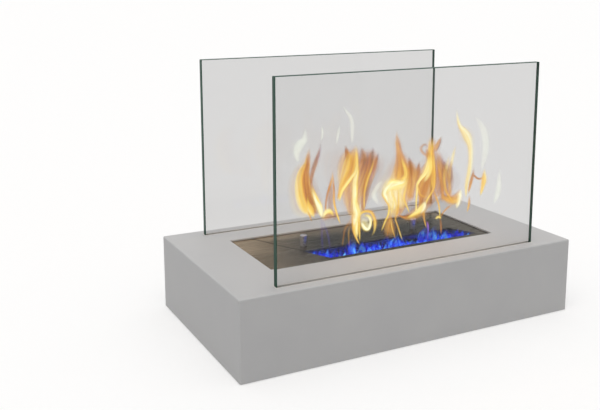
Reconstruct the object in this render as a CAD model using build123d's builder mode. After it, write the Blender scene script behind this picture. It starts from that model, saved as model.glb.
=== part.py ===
from build123d import *
import os
from math import cos, radians, sin, tan

# Tabletop bioethanol fireplace. Millimetres, +Z up, front towards -Y.
# The origin is the middle of the footprint, on the surface that the feet stand on.

# ---------------------------------------------------------------- casing
case_length = 500
case_depth = 280
case_height = 103
case_ground_gap = 1
case_sheet = 2
case_edge_radius = 2

# ---------------------------------------------------------------- feet and floor
foot_radius = 11
foot_height = 3
foot_inset = 36
foot_chamfer = 0.6
base_sheet = 1.5
base_play = 1
ledge_width = 16
ledge_rise = 14
ledge_sheet = 1.5
ledge_gap = 2
base_screw_span = 360
base_screw_columns = 3
side_screw_y = 0

# ---------------------------------------------------------------- M4 fasteners
screw_radius = 2
screw_length = 8
screw_head_radius = 4
screw_head_height = 1.6
socket_width = 2.5
socket_depth = 1
hole_play = 0.25
thread_play = 0.05
stud_length = 9
nut_width = 7
nut_height = 3.2

# ---------------------------------------------------------------- glass
pane_length = 390
pane_rise = 250
pane_thickness = 8
pane_seat = 24
pane_margin = 16.5
pane_arris = 0.7
pane_play = 0.2
gasket_wall = 1.3
gasket_floor = 1.5
channel_sheet = 1.5
channel_inner_flange = 12
channel_outer_flange = 8
stud_count = 4
stud_end_margin = 30

# ---------------------------------------------------------------- burner cut-out and its ledge
cutout_length = 348
cutout_width = 138
burner_offset_y = 7
plate_recess = 2
plate_play = 0.75
frame_sheet = 1.5
frame_flange = 8
frame_ledge = 8

# ---------------------------------------------------------------- burner
burner_sheet = 1.5
cover_sheet = 1.5
cover_play = 0.5
slot_lip = 4
pocket_front_margin = 14.5
pocket_left_margin = 44.5
pocket_right_margin = 16.5
opening_width = 40
slant_degrees = 26
seat_ledge = 2
tank_inset = 1.5
tank_depth = 50
tank_sheet = 1
tank_corner = 4
fibre_play = 1
fibre_height = 34
mesh_sheet = 1
mesh_hole_radius = 3.5
mesh_pitch = 12
mesh_border = 12

# ---------------------------------------------------------------- shutter and knobs
shutter_width = 56
shutter_play = 0.25
knob_radius = 5
knob_height = 15
knob_chamfer = 0.6
knob_left_inset = 24
knob_right_inset = 36
knob_setback = 24
spigot_radius = 2.5
spigot_play = 0.02
spigot_short = 0.1

# ---------------------------------------------------------------- levels and edges that follow
case_top = case_ground_gap + case_height
case_underside = case_top - case_sheet
base_bottom = foot_height
base_top = base_bottom + base_sheet
inner_length = case_length - 2 * case_sheet
inner_depth = case_depth - 2 * case_sheet

pane_spacing = case_depth - 2 * pane_margin - pane_thickness
pane_top = case_top + pane_rise
pane_bottom = case_top - pane_seat
pocket_pane_length = pane_length + 2 * pane_play
pocket_pane_width = pane_thickness + 2 * pane_play
glass_slot_length = pocket_pane_length + 2 * gasket_wall
glass_slot_width = pocket_pane_width + 2 * gasket_wall
gasket_bottom = pane_bottom - gasket_floor
channel_bottom = gasket_bottom - channel_sheet
channel_length = glass_slot_length + 2 * channel_sheet
channel_width = glass_slot_width + 2 * channel_sheet

plate_top = case_top - plate_recess
plate_bottom = plate_top - burner_sheet
cover_bottom = plate_bottom - cover_sheet
slot_lip_bottom = cover_bottom - slot_lip
ledge_opening_length = cutout_length - 2 * frame_ledge
ledge_opening_width = cutout_width - 2 * frame_ledge
cover_length = ledge_opening_length - 2 * cover_play
cover_width = ledge_opening_width - 2 * cover_play
tank_length = cover_length - 2 * tank_inset
tank_width = cover_width - 2 * tank_inset
tank_bottom = cover_bottom - tank_depth
tank_floor = tank_bottom + tank_sheet
fibre_length = tank_length - 2 * (tank_sheet + fibre_play)
fibre_width = tank_width - 2 * (tank_sheet + fibre_play)
fibre_top = tank_floor + fibre_height

slant = radians(slant_degrees)
pocket_front = burner_offset_y - cutout_width / 2 + pocket_front_margin
pocket_depth = opening_width + shutter_width + shutter_play
pocket_back = pocket_front + pocket_depth
pocket_lean = pocket_depth * tan(slant)
pocket_length = cutout_length - pocket_left_margin - pocket_right_margin - pocket_lean
pocket_offset_x = (pocket_left_margin - pocket_right_margin) / 2
pocket_middle = pocket_front + pocket_depth / 2
shutter_front = pocket_front + opening_width
shutter_back = shutter_front + shutter_width
knob_y = shutter_front + knob_setback
mesh_columns = int((fibre_length - 2 * mesh_border) // mesh_pitch) + 1
mesh_rows = int((fibre_width - 2 * mesh_border) // mesh_pitch) + 1
foot_x = case_length / 2 - foot_inset
foot_y = case_depth / 2 - foot_inset
ledge_line_x = inner_length / 2 - ledge_width / 2
ledge_line_y = inner_depth / 2 - ledge_width / 2

os.makedirs("parts", exist_ok=True)


def level(z, x=0, y=0):
    """Horizontal plane at height z, with its origin at x, y."""
    return Plane(origin=(x, y, z))


def finish(piece, name):
    """Label a finished piece and write it to its own file."""
    piece.part.label = name
    export_step(piece.part, f"parts/{name}.step")


def lean(y):
    """X shift, at depth y, of a line that leans like the pocket's ends."""
    return pocket_offset_x - (y - pocket_middle) * tan(slant)


def leaning_outline(front, back, length):
    """Corners of a four-sided outline between two depths, with leaning ends."""
    half = length / 2
    return [
        (lean(front) - half, front),
        (lean(front) + half, front),
        (lean(back) + half, back),
        (lean(back) - half, back),
    ]


# ================================================================ casing and floor
# One folded shell: top and four walls, open below, outer bends rounded.
with BuildPart() as casing:
    with BuildSketch(level(case_ground_gap)):
        Rectangle(case_length, case_depth)
    extrude(amount=case_height)
    bends = casing.edges().filter_by(Axis.Z) + casing.edges().group_by(Axis.Z)[-1]
    fillet(bends, radius=case_edge_radius)
    with BuildSketch(level(case_ground_gap)):
        Rectangle(inner_length, inner_depth)
    extrude(amount=case_height - case_sheet, mode=Mode.SUBTRACT)
    with BuildSketch(level(case_underside, y=burner_offset_y)):
        Rectangle(cutout_length, cutout_width)
    extrude(amount=case_sheet, mode=Mode.SUBTRACT)
    with BuildSketch(level(case_underside)):
        with GridLocations(0, pane_spacing, 1, 2):
            Rectangle(glass_slot_length, glass_slot_width)
    extrude(amount=case_sheet, mode=Mode.SUBTRACT)
finish(casing, "casing")

# Angle strips spot-welded inside the walls carry the floor plate.
ledge_bottom = base_top
long_ledge = inner_length
short_ledge = inner_depth - 2 * (ledge_width + ledge_gap)


def screw_points(side):
    """Floor screw positions on one side of the casing."""
    if side == "front":
        return [(x, -ledge_line_y) for x in column_x]
    if side == "rear":
        return [(x, ledge_line_y) for x in column_x]
    if side == "left":
        return [(-ledge_line_x, side_screw_y)]
    return [(ledge_line_x, side_screw_y)]


column_step = base_screw_span / (base_screw_columns - 1)
column_x = [column_step * i - base_screw_span / 2 for i in range(base_screw_columns)]
ledge_sides = {
    "front": (0, -ledge_line_y, long_ledge, ledge_width, 0, -1),
    "rear": (0, ledge_line_y, long_ledge, ledge_width, 0, 1),
    "left": (-ledge_line_x, 0, ledge_width, short_ledge, -1, 0),
    "right": (ledge_line_x, 0, ledge_width, short_ledge, 1, 0),
}
for side, (x, y, size_x, size_y, out_x, out_y) in ledge_sides.items():
    wall_x = x + out_x * (ledge_width - ledge_sheet) / 2
    wall_y = y + out_y * (ledge_width - ledge_sheet) / 2
    with BuildPart() as base_ledge:
        with BuildSketch(level(ledge_bottom, x, y)):
            Rectangle(size_x, size_y)
        extrude(amount=ledge_sheet)
        with BuildSketch(level(ledge_bottom, wall_x, wall_y)):
            Rectangle(ledge_sheet if out_x else size_x, ledge_sheet if out_y else size_y)
        extrude(amount=ledge_rise)
        with BuildSketch(level(ledge_bottom)):
            with Locations(*screw_points(side)):
                Circle(screw_radius + thread_play)
        extrude(amount=ledge_sheet, mode=Mode.SUBTRACT)
    finish(base_ledge, f"base_ledge_{side}")

all_screws = [point for side in ledge_sides for point in screw_points(side)]
with BuildPart() as base_plate:
    with BuildSketch(level(base_bottom)):
        Rectangle(inner_length - 2 * base_play, inner_depth - 2 * base_play)
        with Locations(*all_screws):
            Circle(screw_radius + hole_play, mode=Mode.SUBTRACT)
    extrude(amount=base_sheet)
finish(base_plate, "base_plate")

# Low-headed socket screws, driven from below.
with BuildPart() as base_screws:
    with BuildSketch(level(base_bottom - screw_head_height)):
        with Locations(*all_screws):
            Circle(screw_head_radius)
    extrude(amount=screw_head_height)
    with BuildSketch(level(base_bottom)):
        with Locations(*all_screws):
            Circle(screw_radius)
    extrude(amount=screw_length)
    with BuildSketch(level(base_bottom - screw_head_height)):
        with Locations(*all_screws):
            RegularPolygon(radius=socket_width / 2, side_count=6, major_radius=False)
    extrude(amount=socket_depth, mode=Mode.SUBTRACT)
finish(base_screws, "base_screws")

foot_places = {
    "foot_front_left": (-foot_x, -foot_y),
    "foot_front_right": (foot_x, -foot_y),
    "foot_rear_left": (-foot_x, foot_y),
    "foot_rear_right": (foot_x, foot_y),
}
for name, (x, y) in foot_places.items():
    with BuildPart() as foot:
        with BuildSketch(level(0, x, y)):
            Circle(foot_radius)
        extrude(amount=foot_height)
        chamfer(foot.edges().sort_by(Axis.Z)[0], length=foot_chamfer)
    finish(foot, name)

# ================================================================ glass and what holds it
stud_span = channel_length - 2 * stud_end_margin
stud_step = stud_span / (stud_count - 1)


def make_glass_side(side, facing):
    """Pane, gasket and trough of one side; facing points from the middle outwards."""
    y = facing * pane_spacing / 2
    with BuildPart() as pane:
        with BuildSketch(level(pane_bottom, y=y)):
            Rectangle(pane_length, pane_thickness)
        extrude(amount=pane_top - pane_bottom)
        chamfer(pane.edges(), length=pane_arris)
    finish(pane, f"{side}_pane")

    with BuildPart() as gasket:
        with BuildSketch(level(gasket_bottom, y=y)):
            Rectangle(glass_slot_length, glass_slot_width)
        extrude(amount=case_top - gasket_bottom)
        with BuildSketch(level(pane_bottom, y=y)):
            Rectangle(pocket_pane_length, pocket_pane_width)
        extrude(amount=case_top - pane_bottom, mode=Mode.SUBTRACT)
    finish(gasket, f"{side}_gasket")

    flange_width = channel_width + channel_inner_flange + channel_outer_flange
    flange_y = y + facing * (channel_outer_flange - channel_inner_flange) / 2
    with BuildPart() as channel:
        with BuildSketch(level(channel_bottom, y=y)):
            Rectangle(channel_length, channel_width)
        extrude(amount=case_underside - channel_bottom)
        with BuildSketch(level(case_underside - channel_sheet, y=flange_y)):
            Rectangle(channel_length, flange_width)
        extrude(amount=channel_sheet)
        with BuildSketch(level(gasket_bottom, y=y)):
            Rectangle(glass_slot_length, glass_slot_width)
        extrude(amount=case_underside - gasket_bottom, mode=Mode.SUBTRACT)
        with BuildSketch(level(case_underside - channel_sheet)):
            with Locations(*stud_points(facing)):
                Circle(screw_radius + hole_play)
        extrude(amount=channel_sheet, mode=Mode.SUBTRACT)
    finish(channel, f"{side}_glass_channel")


def stud_points(facing):
    """Weld studs along the inner flange of one trough."""
    y = facing * (pane_spacing / 2 - channel_width / 2 - channel_inner_flange / 2)
    return [(stud_step * i - stud_span / 2, y) for i in range(stud_count)]


make_glass_side("front", -1)
make_glass_side("rear", 1)

all_studs = stud_points(-1) + stud_points(1)
with BuildPart() as channel_studs:
    with BuildSketch(level(case_underside - stud_length)):
        with Locations(*all_studs):
            Circle(screw_radius)
    extrude(amount=stud_length)
finish(channel_studs, "channel_studs")

with BuildPart() as channel_nuts:
    with BuildSketch(level(case_underside - channel_sheet - nut_height)):
        with Locations(*all_studs):
            RegularPolygon(radius=nut_width / 2, side_count=6, major_radius=False)
            Circle(screw_radius + thread_play, mode=Mode.SUBTRACT)
    extrude(amount=nut_height)
finish(channel_nuts, "channel_nuts")

# ================================================================ burner ledge
# Stepped frame under the top: flange, short web at the cut-out's edge, inward ledge.
with BuildPart() as burner_support_frame:
    with BuildSketch(level(case_underside - frame_sheet, y=burner_offset_y)):
        Rectangle(cutout_length + 2 * frame_flange, cutout_width + 2 * frame_flange)
    extrude(amount=frame_sheet)
    with BuildSketch(level(plate_bottom - frame_sheet, y=burner_offset_y)):
        Rectangle(cutout_length + 2 * frame_sheet, cutout_width + 2 * frame_sheet)
    extrude(amount=case_underside - plate_bottom + frame_sheet)
    with BuildSketch(level(plate_bottom, y=burner_offset_y)):
        Rectangle(cutout_length, cutout_width)
    extrude(amount=case_underside - plate_bottom, mode=Mode.SUBTRACT)
    with BuildSketch(level(plate_bottom - frame_sheet, y=burner_offset_y)):
        Rectangle(ledge_opening_length, ledge_opening_width)
    extrude(amount=frame_sheet, mode=Mode.SUBTRACT)
finish(burner_support_frame, "burner_support_frame")

# ================================================================ burner
# Top plate with the pocket that holds the shutter and leaves the opening free.
with BuildPart() as burner_top_plate:
    with BuildSketch(level(plate_bottom)):
        with Locations((0, burner_offset_y)):
            Rectangle(cutout_length - 2 * plate_play, cutout_width - 2 * plate_play)
        pocket_outline = leaning_outline(pocket_front, pocket_back, pocket_length)
        Polygon(*pocket_outline, align=None, mode=Mode.SUBTRACT)
    extrude(amount=burner_sheet)
finish(burner_top_plate, "burner_top_plate")

# Cover with the flame slot, whose edge is turned down into the tank.
slot_front = pocket_front + seat_ledge
slot_back = shutter_front - seat_ledge
slot_length = pocket_length - 2 * seat_ledge / cos(slant)
lip_growth = 2 * cover_sheet / cos(slant)
slot_outline = leaning_outline(slot_front, slot_back, slot_length)
lip_outline = leaning_outline(
    slot_front - cover_sheet, slot_back + cover_sheet, slot_length + lip_growth
)
with BuildPart() as burner_cover:
    with BuildSketch(level(cover_bottom)):
        with Locations((0, burner_offset_y)):
            Rectangle(cover_length, cover_width)
    extrude(amount=cover_sheet)
    with BuildSketch(level(slot_lip_bottom)):
        Polygon(*lip_outline, align=None)
    extrude(amount=slot_lip)
    with BuildSketch(level(slot_lip_bottom)):
        Polygon(*slot_outline, align=None)
    extrude(amount=slot_lip + cover_sheet, mode=Mode.SUBTRACT)
finish(burner_cover, "burner_cover")

with BuildPart() as burner_tank:
    with BuildSketch(level(tank_bottom, y=burner_offset_y)):
        Rectangle(tank_length, tank_width)
    extrude(amount=tank_depth)
    fillet(burner_tank.edges().filter_by(Axis.Z), radius=tank_corner)
    with BuildSketch(level(tank_floor, y=burner_offset_y)):
        RectangleRounded(
            tank_length - 2 * tank_sheet,
            tank_width - 2 * tank_sheet,
            tank_corner - tank_sheet,
        )
    extrude(amount=tank_depth - tank_sheet, mode=Mode.SUBTRACT)
finish(burner_tank, "burner_tank")

with BuildPart() as ceramic_fibre:
    with BuildSketch(level(tank_floor, y=burner_offset_y)):
        RectangleRounded(fibre_length, fibre_width, tank_corner)
    extrude(amount=fibre_height)
finish(ceramic_fibre, "ceramic_fibre")

# Perforated sheet that keeps the fibre down.
with BuildPart() as fibre_mesh:
    with BuildSketch(level(fibre_top, y=burner_offset_y)):
        RectangleRounded(fibre_length, fibre_width, tank_corner)
        with GridLocations(mesh_pitch, mesh_pitch, mesh_columns, mesh_rows):
            Circle(mesh_hole_radius, mode=Mode.SUBTRACT)
    extrude(amount=mesh_sheet)
finish(fibre_mesh, "fibre_mesh")

# ================================================================ shutter
# It lies flush in the pocket and slides along the pocket's leaning ends.
knob_places = {
    "knob_left": lean(knob_y) - pocket_length / 2 + knob_left_inset,
    "knob_right": lean(knob_y) + pocket_length / 2 - knob_right_inset,
}
shutter_length = pocket_length - 2 * shutter_play / cos(slant)
with BuildPart() as shutter:
    with BuildSketch(level(plate_bottom)):
        Polygon(*leaning_outline(shutter_front, shutter_back, shutter_length), align=None)
        with Locations(*[(x, knob_y) for x in knob_places.values()]):
            Circle(spigot_radius + spigot_play, mode=Mode.SUBTRACT)
    extrude(amount=burner_sheet)
finish(shutter, "shutter")

for name, x in knob_places.items():
    with BuildPart() as knob:
        with BuildSketch(level(plate_top, x, knob_y)):
            Circle(knob_radius)
        extrude(amount=knob_height)
        chamfer(knob.edges().sort_by(Axis.Z)[-1], length=knob_chamfer)
        with BuildSketch(level(plate_bottom + spigot_short, x, knob_y)):
            Circle(spigot_radius)
        extrude(amount=burner_sheet - spigot_short)
    finish(knob, name)

# The way the shutter travels from open to closed.
shutter_way = Vector(sin(slant), -cos(slant), 0)
shutter_travel = (opening_width - shutter_play) / cos(slant)
print("shutter way", shutter_way, "travel", round(shutter_travel, 3))
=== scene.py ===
# %% [markdown]
# # A tabletop bioethanol fireplace
# A low powder-coated steel box carries two upright panes of tempered glass. Between them
# a brushed steel burner is set into the top, with a long opening, a sliding shutter and
# two knobs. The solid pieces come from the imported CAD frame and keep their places. This
# lesson gives them their finishes, and adds what no solid can be: the blue flames along
# the opening and the tall yellow tongues above it.

# %% Load the frame
from math import cos, pi, radians, sin

import bpy
import numpy as np
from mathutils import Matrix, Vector


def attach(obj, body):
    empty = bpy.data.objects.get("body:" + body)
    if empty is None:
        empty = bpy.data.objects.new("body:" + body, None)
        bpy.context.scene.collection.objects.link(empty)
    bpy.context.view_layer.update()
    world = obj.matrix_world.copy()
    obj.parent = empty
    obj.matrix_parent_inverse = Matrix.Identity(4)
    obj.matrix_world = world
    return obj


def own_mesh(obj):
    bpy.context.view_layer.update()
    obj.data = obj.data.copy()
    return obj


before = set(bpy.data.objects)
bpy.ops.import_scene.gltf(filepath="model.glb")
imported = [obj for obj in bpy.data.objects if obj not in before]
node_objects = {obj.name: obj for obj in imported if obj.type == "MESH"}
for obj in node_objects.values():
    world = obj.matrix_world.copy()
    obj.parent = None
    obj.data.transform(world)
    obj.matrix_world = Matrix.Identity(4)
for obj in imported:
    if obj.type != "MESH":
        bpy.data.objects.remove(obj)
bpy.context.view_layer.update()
MM = 0.001

# %% [markdown]
# ## Nodes and sums
# Every finish is a small tree of shader nodes, and the same moves come back in each:
# start a material, add a node, do a sum, map one range to another. Each is a short
# function here, so a finish further down reads like a recipe.

# %% Nodes and sums
def new_material(name):
    """An empty node material, its tree and its output node."""
    material = bpy.data.materials.new(name)
    material.use_nodes = True
    material.node_tree.nodes.clear()
    output = material.node_tree.nodes.new("ShaderNodeOutputMaterial")
    return material, material.node_tree, output


def show(tree, shader, output):
    """Joins a shader to the output."""
    tree.links.new(shader.outputs[0], output.inputs["Surface"])


def add(tree, kind, inputs=None, **settings):
    """Adds a node; inputs maps a socket's name or number to a value, a socket or a node."""
    node = tree.nodes.new(kind)
    for key, value in settings.items():
        setattr(node, key, value)
    for key, value in (inputs or {}).items():
        if isinstance(value, bpy.types.Node):
            value = value.outputs[0]
        if isinstance(value, bpy.types.NodeSocket):
            tree.links.new(value, node.inputs[key])
        else:
            node.inputs[key].default_value = value
    return node


def math(tree, operation, first, second=0.0, clamp=False):
    """One Math node."""
    inputs = {0: first, 1: second}
    return add(tree, "ShaderNodeMath", inputs, operation=operation, use_clamp=clamp)


def spread(tree, value, low, high, to_low=0.0, to_high=1.0):
    """Maps low..high to to_low..to_high with soft ends."""
    inputs = {"Value": value, 1: low, 2: high, 3: to_low, 4: to_high}
    return add(tree, "ShaderNodeMapRange", inputs, interpolation_type="SMOOTHSTEP")


print("nodes and sums are ready")

# %% [markdown]
# ## Places, noise and colour
# A finish has to know where on the object a point lies. Object coordinates are fixed to
# the piece, so a pattern stays put from every side. Noise stretched along one axis turns
# into scratches, and a ramp turns its grey into colours. Colours are written as a screen
# shows them, and then turned into the linear light that Blender works in.

# %% Places, noise and colour
NOISE_LOW = 0.3
NOISE_HIGH = 0.7


def stretched(tree, scale=(1, 1, 1)):
    """Object coordinates, in metres, multiplied along each axis."""
    place = add(tree, "ShaderNodeTexCoord").outputs["Object"]
    return add(tree, "ShaderNodeMapping", {"Vector": place, "Scale": scale})


def axes_of(tree, kind="Object"):
    """The X, Y and Z of one kind of texture coordinates."""
    place = add(tree, "ShaderNodeTexCoord").outputs[kind]
    return add(tree, "ShaderNodeSeparateXYZ", {0: place}).outputs


def noise(tree, place, scale, detail):
    """A soft cloudy grey value, mostly between NOISE_LOW and NOISE_HIGH."""
    inputs = {"Vector": place, "Scale": scale, "Detail": detail}
    return add(tree, "ShaderNodeTexNoise", inputs)


def bumps(tree, height, strength, depth):
    """Bumps from a grey value, for a shader's Normal; depth in metres."""
    inputs = {"Height": height, "Strength": strength, "Distance": depth}
    return add(tree, "ShaderNodeBump", inputs)


def ramp(tree, factor, stops):
    """A colour ramp; stops is a list of (position, colour)."""
    node = add(tree, "ShaderNodeValToRGB", {"Fac": factor})
    elements = node.color_ramp.elements
    elements.remove(elements[1])
    for number, (position, colour) in enumerate(stops):
        element = elements.new(position) if number else elements[0]
        element.position = position
        element.color = (*colour, 1)
    return node


def rgb(red, green, blue):
    """A colour as a screen shows it, 0 to 255, turned into linear light."""
    screen = [value / 255 for value in (red, green, blue)]
    return [s / 12.92 if s < 0.04045 else ((s + 0.055) / 1.055) ** 2.4 for s in screen]


print("middle grey on a screen is", round(rgb(128, 128, 128)[0], 3), "in linear light")

# %% [markdown]
# ## Dressing a CAD node
# A CAD node could be rebuilt in Blender, but its shape is right already. So its mesh stays
# as it is, and only the material in its slots changes.

# %% Dress a node
def wear(material, *names):
    """Gives CAD nodes a material in every slot."""
    for name in names:
        slots = node_objects[name].material_slots
        for slot in slots:
            slot.material = material
        if not slots:
            node_objects[name].data.materials.append(material)
    print(material.name, "on", ", ".join(names))


# %% [markdown]
# ## Powder coat
# The box is sprayed with a light grey powder that melts into a satin skin. Close up
# it has orange peel: soft bumps a millimetre or two across. A noise drives the bump, and
# a slower one moves the tone and the gloss a little, as the thickness of the coat does.

# %% Grey powder coat
COAT_TONE = rgb(190, 190, 190)
COAT_DEEP = rgb(185, 185, 186)
COAT_ROUGHNESS = (0.50, 0.58)
PEEL_SCALE = 620
PEEL_DEPTH = 0.4 * MM
DRIFT_SCALE = 14

material, tree, output = new_material("grey_powder_coat")
peel = noise(tree, stretched(tree), PEEL_SCALE, 3)
drift = noise(tree, stretched(tree), DRIFT_SCALE, 4)
coat = add(tree, "ShaderNodeBsdfPrincipled", {
    "Base Color": ramp(tree, drift, [(NOISE_LOW, COAT_DEEP), (NOISE_HIGH, COAT_TONE)]),
    "Roughness": spread(tree, drift, NOISE_LOW, NOISE_HIGH, *COAT_ROUGHNESS),
    "Specular IOR Level": 0.35,
    "Normal": bumps(tree, peel, 0.12, PEEL_DEPTH),
})
show(tree, coat, output)
wear(material, "casing")

# %% [markdown]
# ## Brushed stainless steel
# The burner's plate, shutter and cover are brushed lengthwise. The scratches could be a
# picture, but noise drawn out along X does it at any distance: it roughens the
# reflection, moves the tone and tilts the normal a little.

# %% Brushed steel
BRUSH_SCALE = (10, 1300, 1300)
BRUSH_DEPTH = 0.1 * MM
STEEL_ROUGHNESS = (0.19, 0.28)
STEEL_RIM = (0.45, 0.45, 0.43, 1)


def make_steel(name, tone, shade, rough=STEEL_ROUGHNESS, rim=STEEL_RIM, overlay=None):
    """Brushed steel; overlay, if given, lays a tint and painted shade over its colour."""
    material, tree, output = new_material(name)
    brush = noise(tree, stretched(tree, BRUSH_SCALE), 1, 4)
    colour = ramp(tree, brush, [(NOISE_LOW, shade), (NOISE_HIGH, tone)])
    if overlay:
        colour = overlay(tree, colour)
    steel = add(tree, "ShaderNodeBsdfPrincipled", {
        "Base Color": colour,
        "Metallic": 1.0,
        "Specular Tint": rim,
        "Roughness": spread(tree, brush, NOISE_LOW, NOISE_HIGH, *rough),
        "Normal": bumps(tree, brush, 0.05, BRUSH_DEPTH),
    })
    show(tree, steel, output)
    return material


print("scratches", round(1 / BRUSH_SCALE[1] / MM, 2), "mm wide")

# %% [markdown]
# ## Straw tint and painted seam shade
# Towards the plate's left end, along its rear edge, and faintly at its right end, the steel
# turns straw and brown. Each patch is a soft step along X or Y, the strongest patch wins,
# and a slow noise frays it. A thin dark line of painted shade stands for the shadow where
# the slanted ends of the shutter meet the plate.

# %% Straw tint
STRAW_TONE = rgb(208, 188, 164)
LEFT_TINT = (-60 * MM, -175 * MM)
LEFT_TINT_DEEPER = (-10 * MM, 30 * MM, 0.48, 1.0)
REAR_TINT = (30 * MM, 70 * MM)
REAR_TINT_LONGER = (-50 * MM, -95 * MM, 0.5, 1.0)
RIGHT_TINT = (100 * MM, 160 * MM, 0.0, 0.13)
TINT_CLOUD_SCALE = 22


# Where the straw-brown tint lies: towards the plate's left end, along its rear edge, and faintly
# at its right end.
def straw_tint(tree, axes):
    """How much of the tint lies on the steel, 0 to 1."""
    left = spread(tree, axes["X"], *LEFT_TINT)
    left = math(tree, "MULTIPLY", left, spread(tree, axes["Y"], *LEFT_TINT_DEEPER))
    rear = spread(tree, axes["Y"], *REAR_TINT)
    rear = math(tree, "MULTIPLY", rear, spread(tree, axes["X"], *REAR_TINT_LONGER))
    place = math(tree, "MAXIMUM", left, rear)
    place = math(tree, "MAXIMUM", place, spread(tree, axes["X"], *RIGHT_TINT))
    cloud = noise(tree, stretched(tree), TINT_CLOUD_SCALE, 3)
    patchy = spread(tree, cloud, 0.25, 0.65, 0.7, 1.0)
    return math(tree, "MULTIPLY", place, patchy, clamp=True)


print("straw tint deepens over", round((LEFT_TINT[0] - LEFT_TINT[1]) / MM), "mm")

# %% Painted seam shade, and the tint and shade together
# Painted shade: a thin dark line for the shadow where the shutter's slanted ends meet the plate.
SEAM_SHADE_TONE = rgb(24, 22, 20)
SEAM_SLANT = radians(26)
SEAM_OFFSETS = (-93.7 * MM, 121.0 * MM)
SEAM_EDGE = (0.4 * MM, 1.6 * MM)
SEAM_FRONT = (-12 * MM, -8 * MM)


def painted_seam_shade(tree, axes):
    """Painted shade: 1 on the two slanted seams at the shutter's ends, 0 away from them."""
    across = math(tree, "MULTIPLY", axes["X"], cos(SEAM_SLANT))
    across = math(tree, "ADD", across, math(tree, "MULTIPLY", axes["Y"], sin(SEAM_SLANT)))
    lines = 0.0
    for offset in SEAM_OFFSETS:
        away = math(tree, "ABSOLUTE", math(tree, "SUBTRACT", across, offset))
        lines = math(tree, "MAXIMUM", lines, spread(tree, away, *SEAM_EDGE, 1.0, 0.0))
    return math(tree, "MULTIPLY", lines, spread(tree, axes["Y"], *SEAM_FRONT))


def lay_over(tree, amount, under, over):
    """Lays one colour over another, by an amount."""
    inputs = {"Factor": amount, "A": under, "B": (*over, 1)}
    return add(tree, "ShaderNodeMix", inputs, data_type="RGBA").outputs["Result"]


def tint_and_painted_seam_shade(tree, colour):
    """Straw tint and painted seam shade over the steel's own colour."""
    axes = axes_of(tree)
    colour = lay_over(tree, straw_tint(tree, axes), colour, STRAW_TONE)
    return lay_over(tree, painted_seam_shade(tree, axes), colour, SEAM_SHADE_TONE)


print(len(SEAM_OFFSETS), "dark seams")

# %% [markdown]
# ## One steel after another
# The plate and the shutter carry the straw tint and the painted seam shade. The tank below
# keeps its plain grey, and the grille over the wool is black with soot. The floor, the
# brackets and the screws are zinc plated: paler, duller, and bright to the rim. The knobs
# are turned and paler.

# %% Steel on the burner, the brackets and the knobs
PLATE_TONES = (rgb(95, 94, 93), rgb(88, 87, 86))
TANK_TONES = (rgb(128, 128, 131), rgb(121, 121, 125))
SOOTY_TONES = (rgb(46, 46, 52), rgb(30, 30, 35))
ZINC_TONES = (rgb(178, 180, 184), rgb(160, 163, 168))
ZINC_ROUGHNESS = (0.3, 0.42)
ZINC_RIM = (1, 1, 1, 1)
KNOB_TONES = (rgb(212, 209, 214), rgb(192, 188, 194))
KNOB_ROUGHNESS = (0.24, 0.34)

# The plate and the shutter get the straw tint and the painted seam shade.
plate_steel = make_steel("brushed_steel", *PLATE_TONES, overlay=tint_and_painted_seam_shade)
wear(plate_steel, "burner_top_plate", "shutter")
wear(make_steel("burner_steel", *TANK_TONES), "burner_cover", "burner_tank")
wear(make_steel("sooty_steel", *SOOTY_TONES), "fibre_mesh")
wear(
    make_steel("zinc_plate", *ZINC_TONES, rough=ZINC_ROUGHNESS, rim=ZINC_RIM),
    "base_plate", "base_screws", "base_ledge_front", "base_ledge_rear",
    "base_ledge_left", "base_ledge_right", "front_glass_channel", "rear_glass_channel",
    "channel_studs", "channel_nuts", "burner_support_frame",
)
wear(make_steel("turned_steel", *KNOB_TONES, rough=KNOB_ROUGHNESS), "knob_left", "knob_right")

# %% [markdown]
# ## Tempered glass
# A pane shows a clear face and a green edge. Light that runs along the sheet crosses
# hundreds of millimetres of glass and comes out dark green, so the ground edges get
# their own colour. The normal in object space tells a face from an edge. To light and
# shadow the face is simply see-through, or the panes would darken what stands behind.

# %% Tempered glass
PANE_CLEAR = rgb(249, 249, 249)
PANE_EDGE = rgb(20, 66, 50)
GLASS_IOR = 1.3
FACE_LIMIT = 0.95
FROST_SCALE = 1500
FROST_ROUGHNESS = (0.35, 0.5)


def pane_face(tree):
    """Clear glass, and plain see-through where it is light that passes."""
    clear = add(tree, "ShaderNodeBsdfGlass", {
        "Color": (*PANE_CLEAR, 1), "Roughness": 0.0, "IOR": GLASS_IOR,
    })
    passing = add(tree, "ShaderNodeBsdfTransparent", {"Color": (*PANE_CLEAR, 1)})
    path = add(tree, "ShaderNodeLightPath").outputs
    soft = math(tree, "MAXIMUM", path["Is Shadow Ray"], path["Is Diffuse Ray"])
    return add(tree, "ShaderNodeMixShader", {0: soft, 1: clear, 2: passing})


def pane_edge(tree):
    """The ground and polished edge: deep green, with a trace of frost."""
    frost = noise(tree, stretched(tree), FROST_SCALE, 2)
    return add(tree, "ShaderNodeBsdfPrincipled", {
        "Base Color": (*PANE_EDGE, 1),
        "Roughness": spread(tree, frost, NOISE_LOW, NOISE_HIGH, *FROST_ROUGHNESS),
        "Specular IOR Level": 0.25,
        "IOR": 1.5,
    })


material, tree, output = new_material("tempered_glass")
facing = math(tree, "ABSOLUTE", axes_of(tree, "Normal")["Y"])
both = add(tree, "ShaderNodeMixShader", {
    0: math(tree, "GREATER_THAN", facing, FACE_LIMIT),
    1: pane_edge(tree),
    2: pane_face(tree),
})
show(tree, both, output)
wear(material, "front_pane", "rear_pane")

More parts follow.
